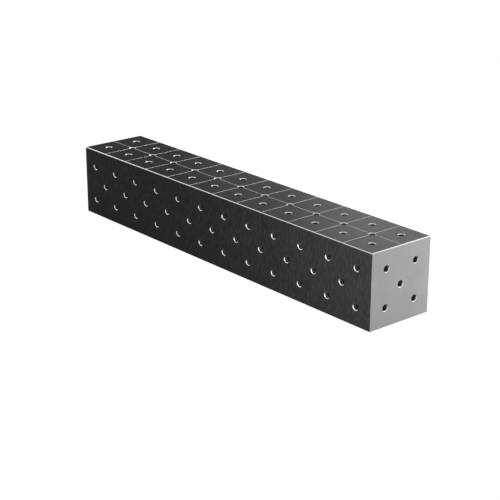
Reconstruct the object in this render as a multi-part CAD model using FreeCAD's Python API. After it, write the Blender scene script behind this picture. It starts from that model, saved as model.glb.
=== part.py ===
"""Welding table block: a hollow box of six drilled steel plates, welded round four ribs.

The long axis is X, the front face looks along -Y and the scribed working face looks up.
The origin is the middle of the underside. All sizes are in millimetres.
"""

import FreeCAD, Part
import os

# Block
block_length = 1200.0
block_width = 200.0
block_height = 200.0
plate_thickness = 12.0
edge_chamfer = 1.5
corner_break = 0.5

# Clamping holes: two outer rows, and a middle row set half a pitch along
grid_pitch = 100.0
hole_diameter = 16.0
hole_chamfer = 1.5
hole_deburr = 0.5

# Lines scribed on the working face
scribe_width = 1.5
scribe_depth = 0.5

# Bevel welds along the outer seams, ground flush
seam_depth = 6.0

# Ribs inside, and the fillet welds that hold them
rib_count = 4
rib_thickness = 10.0
rib_window = 80.0
rib_snip = 15.0
rib_weld_leg = 5.0
rib_weld_throat = 4.2
rib_weld_length = 90.0

X = FreeCAD.Vector(1, 0, 0)
Y = FreeCAD.Vector(0, 1, 0)
Z = FreeCAD.Vector(0, 0, 1)

inner_width = block_width - 2 * plate_thickness
inner_height = block_height - 2 * plate_thickness
cells_along = round(block_length / grid_pitch)
cells_across = round(block_width / grid_pitch)
cells_high = round(block_height / grid_pitch)


def vector(x, y, z):
    return FreeCAD.Vector(x, y, z)


def box(x0, x1, y0, y1, z0, z1):
    """A box between two corners."""
    return Part.makeBox(x1 - x0, y1 - y0, z1 - z0, vector(x0, y0, z0))


def prism(points, along):
    """A closed outline of points, carried along a vector."""
    return Part.Face(Part.makePolygon([*points, points[0]])).extrude(along)


def evenly(count, pitch):
    """Count positions a pitch apart, centred on zero."""
    return [(i - (count - 1) / 2) * pitch for i in range(count)]


def cornered(a, b, across_a, across_b, cut):
    """The corners of a centred rectangle, a by b, each cut off at 45 degrees by a length."""
    points = []
    for i, j in [(-1, -1), (1, -1), (1, 1), (-1, 1)]:
        on_a_side = across_a * (i * (a / 2 - cut)) + across_b * (j * b / 2)
        on_b_side = across_a * (i * a / 2) + across_b * (j * (b / 2 - cut))
        points += [on_b_side, on_a_side] if i == j else [on_a_side, on_b_side]
    return points


def envelope():
    """The whole block as one solid, chamfered round its top and bottom and eased at its corners."""
    middle = Z * (block_height / 2)
    profiles = [
        (block_width, block_height, Y, Z, edge_chamfer, X * block_length),
        (block_length, block_height, X, Z, edge_chamfer, Y * block_width),
        (block_length, block_width, X, Y, corner_break, Z * block_height),
    ]
    bars = []
    for a, b, across_a, across_b, cut, along in profiles:
        start = middle - along / 2
        bars.append(prism([start + p for p in cornered(a, b, across_a, across_b, cut)], along))
    return bars[0].common(bars[1]).common(bars[2])


def hole_tool():
    """One clamping hole, ready to cut from a plate whose inner face is at z = 0.

    It is chamfered at the outer face and only deburred at the inner one, and each cone runs on
    past its face by as much as it cuts.
    """
    radius = hole_diameter / 2
    outline = [
        vector(0, 0, -hole_deburr),
        vector(radius + 2 * hole_deburr, 0, -hole_deburr),
        vector(radius, 0, hole_deburr),
        vector(radius, 0, plate_thickness - hole_chamfer),
        vector(radius + 2 * hole_chamfer, 0, plate_thickness + hole_chamfer),
        vector(0, 0, plate_thickness + hole_chamfer),
    ]
    half_section = Part.Face(Part.makePolygon([*outline, outline[0]]))
    return half_section.revolve(vector(0, 0, 0), Z, 360)


def hole_places(along, across):
    """Centres of a diagonal pattern: one hole in each cell, and one on each inner crossing."""
    cells = [(x, y) for x in evenly(along, grid_pitch) for y in evenly(across, grid_pitch)]
    crossings = [
        (x, y)
        for x in evenly(along - 1, grid_pitch)
        for y in evenly(across - 1, grid_pitch)
    ]
    return cells + crossings


def drilled_plate(length, width, along, across):
    """A plate centred on the origin, its inner face at z = 0 and its outer face on top."""
    blank = box(-length / 2, length / 2, -width / 2, width / 2, 0, plate_thickness)
    tool = hole_tool()
    holes = [tool.translated(vector(x, y, 0)) for x, y in hole_places(along, across)]
    return blank.cut(holes)


def placed(shape, turn_axis, angle, at):
    """A shape turned about an axis through the origin, and then moved."""
    moved = shape.copy()
    moved.rotate(vector(0, 0, 0), turn_axis, angle)
    moved.translate(at)
    return moved


def scribed_line(middle, across, along):
    """A V-shaped cutter for one line. It rises as far above the face as it cuts below."""
    start = middle - along / 2
    outline = [
        start - Z * scribe_depth,
        start - across * scribe_width + Z * scribe_depth,
        start + across * scribe_width + Z * scribe_depth,
    ]
    return prism(outline, along)


def scribed_lines():
    """Cutters for the lines between the cells of the top face, along it and across it."""
    lengthwise = [
        scribed_line(vector(0, y, block_height), Y, X * block_length)
        for y in evenly(cells_across - 1, grid_pitch)
    ]
    crosswise = [
        scribed_line(vector(x, 0, block_height), X, Y * block_width)
        for x in evenly(cells_along - 1, grid_pitch)
    ]
    return lengthwise + crosswise


def long_seam(side, level):
    """The weld between a long side plate (side -1 front, 1 rear) and the plate at a level.

    It fills a bevel on the side plate's edge. Level is 1 for the top plate and -1 for the bottom.
    """
    face = side * block_width / 2
    middle = block_height / 2
    edge = middle + level * inner_height / 2
    outline = [
        vector(-block_length / 2, face, edge),
        vector(-block_length / 2, face, edge - level * seam_depth),
        vector(-block_length / 2, face - side * seam_depth, edge),
    ]
    return prism(outline, X * block_length)


def end_seams(side):
    """The four mitred welds round an end plate (side -1 left, 1 right), as {name: solid}."""
    face = side * block_length / 2
    root = face - side * seam_depth
    middle = vector(0, 0, block_height / 2)

    def ring(x, shrink):
        y, z = inner_width / 2 - shrink, inner_height / 2 - shrink
        corners = [(-y, -z), (y, -z), (y, z), (-y, z)]
        return [middle + vector(x, a, b) for a, b in corners]

    outer, inner, back = ring(face, 0), ring(face, seam_depth), ring(root, 0)
    beads = {}
    for i, name in enumerate(["bottom", "rear", "top", "front"]):
        j = (i + 1) % 4
        beads[name] = wedge(
            [outer[i], inner[i], back[i]],
            [outer[j], inner[j], back[j]],
        )
    return beads


def wedge(first, last):
    """A solid with a triangle at each end and a flat face between each two matching sides."""
    outlines = [first, last]
    for i in range(3):
        j = (i + 1) % 3
        outlines.append([first[i], first[j], last[j], last[i]])
    faces = [Part.Face(Part.makePolygon([*points, points[0]])) for points in outlines]
    solid = Part.Solid(Part.makeShell(faces))
    if solid.Volume < 0:
        solid.reverse()
    return solid


def rib_places():
    """Rib centres: evenly spread, each moved to the nearest gap between two columns of holes."""
    spacing = grid_pitch / 2
    first_gap = spacing / 2 - (cells_along - 1) * spacing
    spread = evenly(rib_count, block_length / (rib_count + 1))
    return [first_gap + round((x - first_gap) / spacing) * spacing for x in spread]


def rib(x):
    """A square rib with snipped corners and a round window, centred on x."""
    start = vector(x - rib_thickness / 2, 0, block_height / 2)
    outline = [start + p for p in cornered(inner_width, inner_height, Y, Z, rib_snip)]
    window = Part.makeCylinder(rib_window / 2, rib_thickness, start, X)
    return prism(outline, X * rib_thickness).cut(window)


def fillet_bead(corner, away_from_rib, away_from_plate, along):
    """A fillet weld in the corner between a rib and a plate, with a slightly domed face."""
    bisector = (away_from_rib + away_from_plate).normalize()
    on_plate = corner + away_from_rib * rib_weld_leg
    on_rib = corner + away_from_plate * rib_weld_leg
    crown = corner + bisector * rib_weld_throat
    outline = Part.Wire(
        [
            Part.LineSegment(on_rib, corner).toShape(),
            Part.LineSegment(corner, on_plate).toShape(),
            Part.Arc(on_plate, crown, on_rib).toShape(),
        ]
    )
    return Part.Face(outline).extrude(along)


def rib_welds(x):
    """The beads that hold one rib to the top, front and rear plates, on both faces of the rib."""
    half_width = inner_width / 2
    middle = block_height / 2
    half_run = rib_weld_length / 2
    beads = []
    for side in (-1, 1):
        face = x + side * rib_thickness / 2
        away = X * side
        top = vector(face, -half_run, middle + inner_height / 2)
        beads.append(fillet_bead(top, away, -Z, Y * rib_weld_length))
        for wall in (-1, 1):
            foot = vector(face, wall * half_width, middle - half_run)
            beads.append(fillet_bead(foot, away, Y * -wall, Z * rib_weld_length))
    return Part.makeCompound(beads)


def long_plates(outer, seams):
    """The top, bottom, front and rear plates, as {name: solid}."""
    wide = drilled_plate(block_length, block_width, cells_along, cells_across)
    narrow = drilled_plate(block_length, inner_height, cells_along, cells_high)
    middle = block_height / 2
    top = placed(wide, X, 0, Z * (block_height - plate_thickness))
    bottom = placed(wide, X, 180, Z * plate_thickness)
    front = placed(narrow, X, 90, vector(0, -inner_width / 2, middle))
    rear = placed(narrow, X, -90, vector(0, inner_width / 2, middle))
    return {
        "top_plate": top.common(outer).cut(scribed_lines()),
        "bottom_plate": bottom.common(outer),
        "front_plate": front.common(outer).cut(seams["front"]),
        "rear_plate": rear.common(outer).cut(seams["rear"]),
    }


def end_plate(side, beads):
    """An end plate, set in between the long plates and bevelled for its welds."""
    blank = drilled_plate(inner_height, inner_width, cells_high, cells_across)
    at = vector(side * (block_length / 2 - plate_thickness), 0, block_height / 2)
    return placed(blank, Y, side * 90, at).cut(beads)


def block():
    """Every piece of the block, as {node name: shape}."""
    outer = envelope()
    long_seams = {
        (wall, level): long_seam(side, height).common(outer)
        for wall, side in (("front", -1), ("rear", 1))
        for level, height in (("top", 1), ("bottom", -1))
    }
    by_wall = {
        wall: [bead for (w, _), bead in long_seams.items() if w == wall]
        for wall in ("front", "rear")
    }
    pieces = long_plates(outer, by_wall)
    for (wall, level), bead in long_seams.items():
        pieces[f"seam_weld_{level}_{wall}"] = bead
    for name, side in (("left", -1), ("right", 1)):
        beads = end_seams(side)
        pieces[f"{name}_end_plate"] = end_plate(side, list(beads.values()))
        for edge, bead in beads.items():
            pieces[f"{name}_end_weld_{edge}"] = bead
    for number, x in enumerate(rib_places(), start=1):
        pieces[f"rib_{number}"] = rib(x)
        pieces[f"rib_{number}_welds"] = rib_welds(x)
    return pieces


def main():
    os.makedirs("parts", exist_ok=True)
    for name, shape in block().items():
        shape.exportStep(f"parts/{name}.step")
        print(f"{name}: {len(shape.Solids)} solids, valid {shape.isValid()}")


main()
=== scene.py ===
"""Finishes a welding table block and sets it in a plain studio.

All lengths are metres in the part's own frame: +X along the block, +Z up, the front towards -Y,
and the origin in the middle of the underside.
"""

import math

import bpy
import numpy as np
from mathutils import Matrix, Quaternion, Vector


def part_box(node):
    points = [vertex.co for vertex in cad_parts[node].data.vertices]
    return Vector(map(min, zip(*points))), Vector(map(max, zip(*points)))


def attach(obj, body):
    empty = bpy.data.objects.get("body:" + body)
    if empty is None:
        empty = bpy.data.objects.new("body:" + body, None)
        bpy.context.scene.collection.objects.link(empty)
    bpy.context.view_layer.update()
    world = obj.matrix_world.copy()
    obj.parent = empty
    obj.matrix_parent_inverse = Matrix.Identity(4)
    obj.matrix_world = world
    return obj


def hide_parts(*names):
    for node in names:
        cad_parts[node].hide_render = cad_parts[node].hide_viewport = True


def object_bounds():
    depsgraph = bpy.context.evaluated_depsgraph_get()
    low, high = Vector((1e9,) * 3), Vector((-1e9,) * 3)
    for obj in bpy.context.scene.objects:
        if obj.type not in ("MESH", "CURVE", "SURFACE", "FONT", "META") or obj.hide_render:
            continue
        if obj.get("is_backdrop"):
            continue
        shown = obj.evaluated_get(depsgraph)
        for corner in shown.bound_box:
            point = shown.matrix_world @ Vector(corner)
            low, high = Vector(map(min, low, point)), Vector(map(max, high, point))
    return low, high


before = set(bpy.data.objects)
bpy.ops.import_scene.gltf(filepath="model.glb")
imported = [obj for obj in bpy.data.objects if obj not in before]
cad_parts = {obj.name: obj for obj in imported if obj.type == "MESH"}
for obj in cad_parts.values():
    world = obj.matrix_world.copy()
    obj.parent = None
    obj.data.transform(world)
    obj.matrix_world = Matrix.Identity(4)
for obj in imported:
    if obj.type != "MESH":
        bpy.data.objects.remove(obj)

bl_info = {
    "name": "Welding table block finish",
    "version": (1, 0, 0),
    "blender": (4, 5, 0),
    "location": "View3D > Sidebar > Block",
    "description": "Steel finishes, weld beads and studio for a drilled welding table block",
    "category": "Object",
}

# What the frame says of the block
CAD_LOW, CAD_HIGH = (Vector(corner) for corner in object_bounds())
HALF = (CAD_HIGH - CAD_LOW) / 2
MIDDLE = (CAD_HIGH + CAD_LOW) / 2
TOP_LOW, TOP_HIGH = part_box("top_plate")
PLATE = TOP_HIGH.z - TOP_LOW.z
RIBS = sorted(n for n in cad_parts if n.startswith("rib_") and not n.endswith("_welds"))

MM = 0.001

# Depths that tell an outer face, an upright corner and the inner end of a hole
SKIN = 0.2 * MM
CORNER = 1.0 * MM
INNER_DEBURR = 0.6 * MM

# A face is square to an axis if its normal's largest part is above the first value. A cut is taken to
# face down if its upward part is below the second, and then gets painted shade
SQUARE = 0.95
DOWNWARD_SHADE = -0.2


# Shader helpers


class Term:
    """A number in a shader. Arithmetic on it adds Math nodes to its sheet."""

    def __init__(self, sheet, socket):
        self.sheet = sheet
        self.socket = socket

    def math(self, operation, *others):
        values = dict(enumerate((self, *others)))
        return self.sheet.add("ShaderNodeMath", {"operation": operation}, values)

    def __add__(self, other):
        return self.math("ADD", other)

    def __sub__(self, other):
        return self.math("SUBTRACT", other)

    def __mul__(self, other):
        return self.math("MULTIPLY", other)

    def __rsub__(self, other):
        return self.sheet.add("ShaderNodeMath", {"operation": "SUBTRACT"}, {0: other, 1: self})

    def __abs__(self):
        return self.math("ABSOLUTE")

    def __lt__(self, other):
        return self.math("LESS_THAN", other)

    def __gt__(self, other):
        return self.math("GREATER_THAN", other)

    def least(self, other):
        return self.math("MINIMUM", other)

    def most(self, other):
        return self.math("MAXIMUM", other)

    __radd__ = __add__
    __rmul__ = __mul__


class Sheet:
    """The nodes of one material or of the world."""

    def __init__(self, tree):
        self.tree = tree
        tree.nodes.clear()

    def node(self, kind, settings=None, sockets=None):
        """Adds a node. Its settings are made first, then each socket gets its value or link."""
        made = self.tree.nodes.new(kind)
        for name, value in (settings or {}).items():
            setattr(made, name, value)
        for key, value in (sockets or {}).items():
            if isinstance(value, Term):
                self.tree.links.new(value.socket, made.inputs[key])
            else:
                made.inputs[key].default_value = value
        return made

    def add(self, kind, settings=None, sockets=None, out=0):
        """Adds a node and returns one of its outputs."""
        return Term(self, self.node(kind, settings, sockets).outputs[out])

    def split(self, vector):
        """The three parts of a vector."""
        made = self.node("ShaderNodeSeparateXYZ", None, {0: vector})
        return [Term(self, socket) for socket in made.outputs]

    def blend(self, mask, below, above):
        """One colour where the mask is 0, and the other where it is 1."""
        return self.add(
            "ShaderNodeMix", {"data_type": "RGBA"}, {0: mask, 6: below, 7: above}, 2
        )

    def scaled(self, colour, factor):
        """A colour made lighter or darker by a factor."""
        if not isinstance(colour, Term):
            colour = tuple(colour)[:3]
        return self.add(
            "ShaderNodeVectorMath", {"operation": "SCALE"}, {0: colour, "Scale": factor}
        )

    def noise(self, place, grain, detail=2.0):
        """Soft noise from 0 to 1, whose grain is a length along each axis."""
        stretched = self.add(
            "ShaderNodeVectorMath",
            {"operation": "DIVIDE"},
            {0: place, 1: tuple(grain)},
        )
        sockets = {"Vector": stretched, "Scale": 1.0, "Detail": detail}
        return self.add("ShaderNodeTexNoise", None, sockets)


def rgba(colour):
    """A colour for a shader, with full opacity."""
    return (*colour, 1.0)


def swing(noise, reach):
    """Noise from 0 to 1, moved to run from -reach to reach."""
    return (noise - 0.5) * (2 * reach)


def new_material(name):
    """A material with an empty sheet, and the sheet."""
    material = bpy.data.materials.new(name)
    material.use_nodes = True
    return material, Sheet(material.node_tree)


def steel_surface(sheet, colour, roughness, metallic, height, depth, gloss):
    """Ends a sheet in one principled surface, with a bump of a given depth."""
    bump = sheet.add(
        "ShaderNodeBump", None, {"Strength": 1.0, "Distance": depth, "Height": height}
    )
    surface = sheet.add(
        "ShaderNodeBsdfPrincipled",
        None,
        {
            "Base Color": colour,
            "Roughness": roughness,
            "Metallic": metallic,
            "Normal": bump,
            "Specular IOR Level": gloss,
            "Specular Tint": (gloss, gloss, gloss, 1.0),
        },
    )
    sheet.node("ShaderNodeOutputMaterial", None, {"Surface": surface})


def dress(names, material):
    """Gives nodes of the frame a material in every slot."""
    for name in names:
        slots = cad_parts[name].material_slots
        if not slots:
            raise RuntimeError(f"{name} has no material slot")
        for slot in slots:
            slot.material = material


# Settings


def colour_setting(name, description, default):
    return bpy.props.FloatVectorProperty(
        name=name,
        description=description,
        default=default,
        subtype="COLOR",
        size=3,
        min=0.0,
        max=1.0,
    )


def length_setting(name, description, default):
    return bpy.props.FloatProperty(
        name=name,
        description=description,
        default=default,
        unit="LENGTH",
        subtype="DISTANCE",
        min=0.0,
        precision=5,
    )


def power_setting(name, description, default):
    return bpy.props.FloatProperty(
        name=name,
        description=description,
        default=default,
        unit="POWER",
        min=0.0,
    )


def share_setting(name, description, default):
    return bpy.props.FloatProperty(
        name=name,
        description=description,
        default=default,
        subtype="FACTOR",
        min=0.0,
        max=1.0,
    )


class GroundSteel(bpy.types.PropertyGroup):
    """The finish of the block's outside, with painted light and shade in the colours of its faces."""

    # One steel in three colours: painted light on the ends and painted shade on the top and long
    # sides
    top: colour_setting("Top", "Colour of the working face and the underside", (0.019, 0.019, 0.0192))
    side: colour_setting("Sides", "Colour of the long sides", (0.03, 0.03, 0.0303))
    end: colour_setting("Ends", "Colour of the end faces", (0.3, 0.3, 0.302))
    edge: colour_setting("Edges", "Colour of chamfers and scribed lines", (0.58, 0.58, 0.58))
    # A painted highlight: the long sides' hole chamfers are lighter than the other cuts
    side_rim_highlight: colour_setting("Side rims", "Colour of the sides' hole chamfers", (0.74, 0.74, 0.74))
    bore: colour_setting("Bores", "Colour of the drilled walls", (0.08, 0.08, 0.08))
    scale: colour_setting("Inside", "Colour of the unground inner faces", (0.05, 0.052, 0.056))
    roughness: share_setting("Roughness", "Roughness of the ground faces", 0.35)
    top_cut: length_setting("Top cuts", "How far below the top its cuts stay bright", 1.6 * MM)
    # Below this depth a hole's chamfer on a side or end takes the bores' dark colour: painted shade
    # at its foot
    side_cut: length_setting("Side cuts", "How far below a side its cuts stay bright", 1.2 * MM)
    cut_roughness: share_setting("Cut roughness", "Roughness of chamfers and scribed lines", 0.48)
    metal: share_setting("Metal", "How metallic the ground faces look", 0.006)
    cut_metal: share_setting("Cut metal", "How metallic chamfers and scribed lines look", 1.0)
    gloss: share_setting("Gloss", "Specular level of the ground faces", 0.003)
    streak_width: length_setting("Streak width", "Width of a grinding streak", 2.5 * MM)
    streak_length: length_setting("Streak length", "Length of a grinding streak", 16 * MM)
    streak_depth: length_setting("Streak depth", "Depth of a grinding streak", 0.02 * MM)
    side_streaks: share_setting("Side streaks", "How much streaks change the sides' colour", 0.85)
    top_streaks: share_setting("Top streaks", "How much streaks change the top's colour", 0.1)


class InnerSteel(bpy.types.PropertyGroup):
    """The finish of the ribs, and the shape and finish of their weld beads."""

    rib: colour_setting("Ribs", "Colour of the ribs' mill scale", (0.06, 0.062, 0.068))
    bead: colour_setting("Beads", "Colour of the weld beads", (0.32, 0.3, 0.27))
    blue: colour_setting("Heat", "Colour of the beads where their heat shows", (0.12, 0.12, 0.16))
    patch: length_setting("Patches", "Size of the patches in the mill scale", 30 * MM)
    leg: length_setting("Leg", "Leg of a fillet weld", 5 * MM)
    throat: length_setting("Throat", "Depth of a fillet weld from its corner", 4.2 * MM)
    ripple: length_setting("Ripple", "Distance from one ripple to the next", 3 * MM)
    ripple_height: length_setting("Ripple height", "Height of a ripple", 0.25 * MM)


class Studio(bpy.types.PropertyGroup):
    """The floor, the lights and the camera."""

    floor_size: length_setting("Floor", "Side of the square floor", 30.0)
    floor_white: share_setting("Floor white", "How much of the floor's look is plain white", 0.92)
    ambient: share_setting("Ambient", "Strength of the even light from all round", 0.45)
    key: power_setting("Key", "Power of the light on the right end", 6.4)
    fill: power_setting("Fill", "Power of the light on the front, near its right end", 4.35)
    sheen_near: power_setting("Near sheen", "Power of the light seen in the top's right end", 30.6)
    sheen_middle: power_setting("Middle sheen", "Power of the light seen left of that", 26.5)
    sheen_far: power_setting("Far sheen", "Power of the light seen in the top's middle", 9.4)
    rim: power_setting("Rim", "Power of the light at the left, seen in the top chamfers", 13.8)
    lens: bpy.props.FloatProperty(
        name="Lens",
        description="Focal length for a frame 36 mm wide",
        default=98.24,
        subtype="DISTANCE_CAMERA",
    )
    roll: bpy.props.FloatProperty(
        name="Roll",
        description="Turn of the camera about its own axis",
        default=math.radians(0.14),
        unit="ROTATION",
        subtype="ANGLE",
    )
    camera: bpy.props.FloatVectorProperty(
        name="Camera",
        description="Place of the camera",
        default=(2.7024, -2.24828, 1.29664),
        unit="LENGTH",
        subtype="XYZ",
    )
    look: bpy.props.FloatVectorProperty(
        name="Look",
        description="Direction in which the camera looks",
        default=(-0.71818, 0.60621, -0.34166),
        subtype="DIRECTION",
    )


# The outside


def outer_steel(settings):
    """Ground steel whose colour depends on which outer face of the block is nearest, with painted
    light and shade: the ends painted light, the top and long sides dark.

    A point's depth is its distance below the nearest of the six outer planes. Just below a face,
    whatever is square to no axis is a bright cut: a chamfer or a scribed line. Cuts that face down
    stay dark, as painted shade, and upright corners keep the faces' dark colour with no bright cut,
    also painted shade. On the sides and ends the foot of a hole's chamfer takes the bores' dark
    colour, painted shade as well. The holes' chamfers on the long sides are painted lighter than the
    other cuts, a painted highlight. A plate's thickness down is the unground inside.
    """
    material, sheet = new_material("ground_steel")
    place = sheet.add("ShaderNodeTexCoord", None, None, "Object")
    x, y, z = sheet.split(place)
    to_end = HALF.x - abs(x - MIDDLE.x)
    to_side = HALF.y - abs(y - MIDDLE.y)
    to_top = HALF.z - abs(z - MIDDLE.z)
    depth = to_end.least(to_side).least(to_top)

    facing = sheet.add("ShaderNodeNewGeometry", None, None, "True Normal")
    toward_end, toward_side, upward = sheet.split(facing)
    across, along = abs(toward_end), abs(toward_side)
    squareness = across.most(along).most(abs(upward))

    skin = depth < SKIN
    on_end = (to_end < SKIN) * (across > SQUARE)
    on_side = (to_side < SKIN) * (along > SQUARE)
    # Upright corners get no bright cut and keep the faces' dark colour: painted shade
    corner = (to_end < CORNER) * (to_side < CORNER)
    at_top = to_top < settings.top_cut
    # Deeper than this, cuts on the sides and ends get the bores' colour as painted shade
    cut_depth_above_shade = settings.side_cut + at_top * (settings.top_cut - settings.side_cut)
    # Cuts facing down are left out of the bright cuts: painted shade
    slanted_unshaded = (squareness < SQUARE) * (upward > DOWNWARD_SHADE)
    machined = (depth < cut_depth_above_shade) * slanted_unshaded * (1 - corner)
    inside = depth > PLATE - INNER_DEBURR

    width, length = settings.streak_width, settings.streak_length
    streaks = sheet.noise(place, (width, length, length), detail=3.0)
    clouds = sheet.noise(place, (length * 3, length * 3, length * 3))
    pits = sheet.noise(place, (width, width, width), detail=4.0)

    strength = settings.top_streaks + on_side * (settings.side_streaks - settings.top_streaks)
    strength = strength * (1 - on_end)
    shade = 1 + swing(streaks, strength) + swing(clouds, 0.1)

    # Painted light and shade: each face gets its own colour, light on the ends and dark on the top
    # and sides
    face = sheet.blend(on_side, rgba(settings.top), rgba(settings.side))
    face = sheet.blend(on_end, face, rgba(settings.end))
    face = sheet.scaled(face, shade)
    wall = sheet.scaled(rgba(settings.bore), 1 + swing(pits, 0.2))
    scale = sheet.scaled(rgba(settings.scale), 1 + swing(clouds, 0.4))
    colour = sheet.blend(skin.most(corner), sheet.blend(inside, wall, scale), face)
    # Painted highlight on the long sides' hole chamfers
    on_side_rim_highlight = (to_side < settings.side_cut) * (to_top > settings.top_cut)
    cut = sheet.blend(on_side_rim_highlight, rgba(settings.edge), rgba(settings.side_rim_highlight))
    colour = sheet.blend(machined, colour, cut)

    roughness = settings.roughness + swing(streaks, 0.1)
    roughness = roughness + machined * (settings.cut_roughness - roughness)
    metallic = settings.metal + machined * (settings.cut_metal - settings.metal)
    pit_share = 0.3
    height = (streaks + pits * pit_share) * (1 - machined)
    steel_surface(
        sheet, colour, roughness, metallic, height, settings.streak_depth, settings.gloss
    )
    return material


class BLOCK_OT_grind_plates(bpy.types.Operator):
    """Give the six plates their ground steel"""

    bl_idname = "welding_block.grind_plates"
    bl_label = "Grind plates"

    def execute(self, context):
        plates = [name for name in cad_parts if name.endswith("_plate")]
        dress(plates, outer_steel(context.scene.block_ground_steel))
        return {"FINISHED"}


class BLOCK_OT_grind_seams(bpy.types.Operator):
    """Give the outer welds the same ground steel as the plates beside them"""

    bl_idname = "welding_block.grind_seams"
    bl_label = "Grind seams"

    def execute(self, context):
        seams = [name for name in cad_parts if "seam_weld" in name or "end_weld" in name]
        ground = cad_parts["top_plate"].material_slots[0].material
        dress(seams, ground)
        return {"FINISHED"}


# The inside

# How finely a bead is divided, and how its section and its ripples are shaped
POINTS_ACROSS = 9
STEPS_PER_RIPPLE = 6
FLATNESS = 0.7
RIPPLE_BOW = 0.6
TAPERED_RIPPLES = 2


def mill_scale(settings):
    """Blue-grey mill scale with soft patches."""
    material, sheet = new_material("mill_scale")
    place = sheet.add("ShaderNodeTexCoord", None, None, "Object")
    patch = settings.patch
    patches = sheet.noise(place, (patch, patch, patch), detail=4.0)
    grit = sheet.noise(place, (MM, MM, MM))
    colour = sheet.scaled(rgba(settings.rib), 1 + swing(patches, 0.5))
    roughness = 0.6 + swing(patches, 0.15)
    steel_surface(
        sheet, colour, roughness, metallic=0.4, height=grit, depth=0.05 * MM, gloss=0.3
    )
    return material


def weld_metal(settings):
    """Weld metal, brown, and blue in places from its heat."""
    material, sheet = new_material("weld_metal")
    place = sheet.add("ShaderNodeTexCoord", None, None, "Object")
    heat = sheet.noise(place, (8 * MM, 8 * MM, 8 * MM), detail=3.0)
    grit = sheet.noise(place, (0.6 * MM, 0.6 * MM, 0.6 * MM))
    tint = sheet.blend(heat, rgba(settings.bead), rgba(settings.blue))
    colour = sheet.scaled(tint, 1 + swing(grit, 0.2))
    roughness = 0.4 + swing(heat, 0.1)
    steel_surface(
        sheet, colour, roughness, metallic=0.8, height=grit, depth=0.03 * MM, gloss=0.5
    )
    return material


def bead_surface(corner, along, on_plate, on_rib, settings):
    """Vertices and faces of one fillet weld with ripples, closed at both ends.

    With t from 0 to 1 along the bead and a from 0 on the plate to 90 degrees on the rib, a point
    lies at corner + along * t + r * (cos a * on_plate + sin a * on_rib). The radius r runs from the
    leg at either side to the throat in the middle, less a ripple that bows forward in the middle
    and fades out at both ends. A last line of points, in the corner itself, closes the section.
    """
    run = along.length
    steps = max(2, round(run / settings.ripple) * STEPS_PER_RIPPLE)
    t = np.linspace(0.0, 1.0, steps + 1)[:, None]
    a = np.linspace(0.0, math.pi / 2, POINTS_ACROSS)[None, :]
    swell = np.sin(2 * a)
    radius = settings.leg + (settings.throat - settings.leg) * swell**FLATNESS
    phase = 2 * math.pi * (t * run / settings.ripple - RIPPLE_BOW * swell)
    taper = np.minimum(1.0, np.minimum(t, 1 - t) * run / (TAPERED_RIPPLES * settings.ripple))
    radius = radius - settings.ripple_height * swell * taper * (1 - np.cos(phase)) / 2
    start, reach = np.array(corner), np.array(along)
    outer = (
        start
        + t[..., None] * reach
        + (radius * np.cos(a))[..., None] * np.array(on_plate)
        + (radius * np.sin(a))[..., None] * np.array(on_rib)
    )
    root = (start + t * reach)[:, None, :]
    grid = np.concatenate([outer, root], axis=1)
    rows, columns = grid.shape[:2]
    index = np.arange(rows * columns).reshape(rows, columns)
    ahead, beside = index[1:], np.roll(index, -1, axis=1)
    quads = np.stack([index[:-1], beside[:-1], beside[1:], ahead], axis=-1).reshape(-1, 4)
    caps = [index[0][::-1].tolist(), index[-1].tolist()]
    if np.dot(np.cross(on_plate, on_rib), reach) < 0:
        quads = quads[:, ::-1]
        caps = [cap[::-1] for cap in caps]
    return grid.reshape(-1, 3), quads.tolist() + caps


def rib_beads(rib, settings):
    """One object with the six beads of a rib, placed by the CAD node that holds its welds."""
    low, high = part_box(rib)
    middle = (low + high) / 2
    # The upright beads are centred on the rib's height, and are the lowest of its welds
    weld_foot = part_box(f"{rib}_welds")[0].z
    run = 2 * (middle.z - weld_foot)
    vertices, faces = [], []

    def lay(corner, along, on_plate, on_rib):
        points, polygons = bead_surface(corner, along, on_plate, on_rib, settings)
        start = sum(len(part) for part in vertices)
        vertices.append(points)
        faces.extend([[start + i for i in polygon] for polygon in polygons])

    for face, away in ((low.x, Vector((-1, 0, 0))), (high.x, Vector((1, 0, 0)))):
        under_top = Vector((face, middle.y - run / 2, high.z))
        lay(under_top, Vector((0, run, 0)), away, Vector((0, 0, -1)))
        for wall, inward in ((low.y, Vector((0, 1, 0))), (high.y, Vector((0, -1, 0)))):
            foot = Vector((face, wall, middle.z - run / 2))
            lay(foot, Vector((0, 0, run)), away, inward)

    mesh = bpy.data.meshes.new(f"{rib}_beads")
    mesh.from_pydata(np.concatenate(vertices).tolist(), [], faces)
    mesh.validate()
    mesh.shade_smooth()
    piece = bpy.data.objects.new(f"{rib}_beads", mesh)
    bpy.context.scene.collection.objects.link(piece)
    return piece


class BLOCK_OT_scale_ribs(bpy.types.Operator):
    """Give the ribs inside their mill scale"""

    bl_idname = "welding_block.scale_ribs"
    bl_label = "Scale ribs"

    def execute(self, context):
        dress(RIBS, mill_scale(context.scene.block_inner_steel))
        return {"FINISHED"}


class BLOCK_OT_lay_beads(bpy.types.Operator):
    """Lay the rippled weld beads that hold each rib"""

    bl_idname = "welding_block.lay_beads"
    bl_label = "Lay beads"

    def execute(self, context):
        settings = context.scene.block_inner_steel
        metal = weld_metal(settings)
        for rib in RIBS:
            piece = rib_beads(rib, settings)
            piece.data.materials.append(metal)
            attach(piece, "root")
            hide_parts(f"{rib}_welds")
        return {"FINISHED"}


# The studio

FLOOR_COLOUR = (0.85, 0.85, 0.85)
WHITE = (1.0, 1.0, 1.0)

# A little over 1, because the floor's share of real light is darker than white
FLOOR_GLOW = 1.06


def seen_directly(sheet):
    """1 for rays from the camera, or from a mirror or glass, and 0 for those that light things."""
    path = sheet.node("ShaderNodeLightPath")
    camera, glossy, through = (
        Term(sheet, path.outputs[name])
        for name in ("Is Camera Ray", "Is Glossy Ray", "Is Transmission Ray")
    )
    return camera.most(glossy).most(through)


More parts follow.
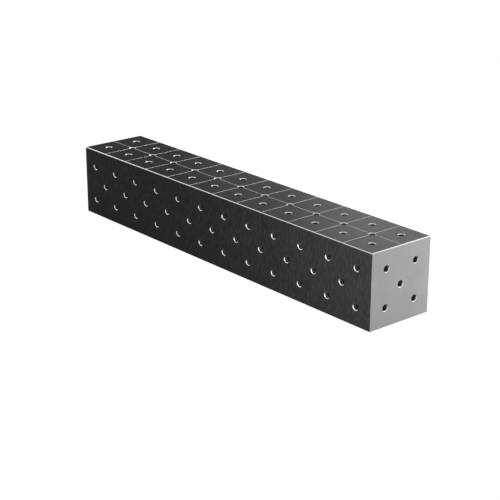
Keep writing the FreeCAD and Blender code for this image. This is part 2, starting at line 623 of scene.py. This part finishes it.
def make_floor(settings):
    """A pale floor that looks white and keeps a faint shadow."""
    half = settings.floor_size / 2
    corners = [
        (x, y, CAD_LOW.z) for x, y in ((-half, -half), (half, -half), (half, half), (-half, half))
    ]
    mesh = bpy.data.meshes.new("floor")
    mesh.from_pydata(corners, [], [(0, 1, 2, 3)])
    floor = bpy.data.objects.new("floor", mesh)
    bpy.context.scene.collection.objects.link(floor)
    material, sheet = new_material("pale_floor")
    matt = sheet.add("ShaderNodeBsdfDiffuse", None, {"Color": rgba(FLOOR_COLOUR)})
    glow = {"Color": rgba(WHITE), "Strength": FLOOR_GLOW}
    white = sheet.add("ShaderNodeEmission", None, glow)
    share = seen_directly(sheet) * settings.floor_white
    surface = sheet.add("ShaderNodeMixShader", None, {0: share, 1: matt, 2: white})
    sheet.node("ShaderNodeOutputMaterial", None, {"Surface": surface})
    mesh.materials.append(material)
    floor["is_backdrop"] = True


def make_world(settings):
    """White where it is seen, and an even ambient light otherwise."""
    world = bpy.data.worlds.new("white_room")
    world.use_nodes = True
    sheet = Sheet(world.node_tree)
    light, white = (
        sheet.add("ShaderNodeBackground", None, {"Color": rgba(WHITE), "Strength": strength})
        for strength in (settings.ambient, 1.0)
    )
    surface = sheet.add("ShaderNodeMixShader", None, {0: seen_directly(sheet), 1: light, 2: white})
    sheet.node("ShaderNodeOutputWorld", None, {"Surface": surface})
    bpy.context.scene.world = world


RIGHT_END = Vector((CAD_HIGH.x, MIDDLE.y, MIDDLE.z))
LEFT_CORNER = Vector((CAD_LOW.x, CAD_LOW.y, CAD_HIGH.z))

# Each light's place, the point it is turned to, and its side
SOFTBOXES = {
    "key": ((1.0, 0.7, 0.4), RIGHT_END, 0.3),
    "fill": ((0.74, -0.75, 0.22), RIGHT_END, 0.3),
    "sheen_near": ((-0.7, 1.8, 1.08), RIGHT_END, 1.0),
    "sheen_middle": ((-1.2, 1.9, 1.13), RIGHT_END, 0.8),
    "sheen_far": ((-1.8, 1.8, 1.08), RIGHT_END, 0.8),
    "rim": ((-2.4, -0.45, 0.85), LEFT_CORNER, 1.0),
}


def make_softbox(name, place, aim, side, power):
    """A square area light at a place, turned towards a point and never in the picture itself."""
    light = bpy.data.lights.new(name, "AREA")
    light.size = side
    light.energy = power
    box = bpy.data.objects.new(name, light)
    box.location = place
    box.rotation_euler = (Vector(aim) - Vector(place)).to_track_quat("-Z", "Y").to_euler()
    box.visible_camera = False
    bpy.context.scene.collection.objects.link(box)


def make_camera(settings):
    camera = bpy.data.cameras.new("camera")
    camera.sensor_width = 36.0
    camera.lens = settings.lens
    holder = bpy.data.objects.new("camera", camera)
    holder.location = settings.camera
    turn = Vector(settings.look).to_track_quat("-Z", "Y")
    holder.rotation_mode = "QUATERNION"
    holder.rotation_quaternion = turn @ Quaternion((0, 0, 1), settings.roll)
    bpy.context.scene.collection.objects.link(holder)
    bpy.context.scene.camera = holder


class BLOCK_OT_set_stage(bpy.types.Operator):
    """Set up the floor, the world, the lights and the camera"""

    bl_idname = "welding_block.set_stage"
    bl_label = "Set stage"

    def execute(self, context):
        settings = context.scene.block_studio
        context.scene.view_settings.view_transform = "Standard"
        make_floor(settings)
        make_world(settings)
        for name, (place, aim, side) in SOFTBOXES.items():
            make_softbox(name, place, aim, side, getattr(settings, name))
        make_camera(settings)
        return {"FINISHED"}


class BLOCK_PT_panel(bpy.types.Panel):
    """Lists the steps that finish the block"""

    bl_idname = "BLOCK_PT_panel"
    bl_label = "Welding table block"
    bl_space_type = "VIEW_3D"
    bl_region_type = "UI"
    bl_category = "Block"

    def draw(self, context):
        for step in STEPS:
            self.layout.operator(step.bl_idname)


STEPS = (
    BLOCK_OT_grind_plates,
    BLOCK_OT_grind_seams,
    BLOCK_OT_scale_ribs,
    BLOCK_OT_lay_beads,
    BLOCK_OT_set_stage,
)
SETTINGS = {
    "block_ground_steel": GroundSteel,
    "block_inner_steel": InnerSteel,
    "block_studio": Studio,
}


def register():
    for group in SETTINGS.values():
        bpy.utils.register_class(group)
    for name, group in SETTINGS.items():
        setattr(bpy.types.Scene, name, bpy.props.PointerProperty(type=group))
    for step in STEPS:
        bpy.utils.register_class(step)
    bpy.utils.register_class(BLOCK_PT_panel)


def unregister():
    bpy.utils.unregister_class(BLOCK_PT_panel)
    for step in reversed(STEPS):
        bpy.utils.unregister_class(step)
    for name, group in SETTINGS.items():
        delattr(bpy.types.Scene, name)
        bpy.utils.unregister_class(group)


def main():
    register()
    bpy.ops.welding_block.grind_plates()
    bpy.ops.welding_block.grind_seams()
    bpy.ops.welding_block.scale_ribs()
    bpy.ops.welding_block.lay_beads()
    bpy.ops.welding_block.set_stage()


if __name__ == "__main__":
    main()
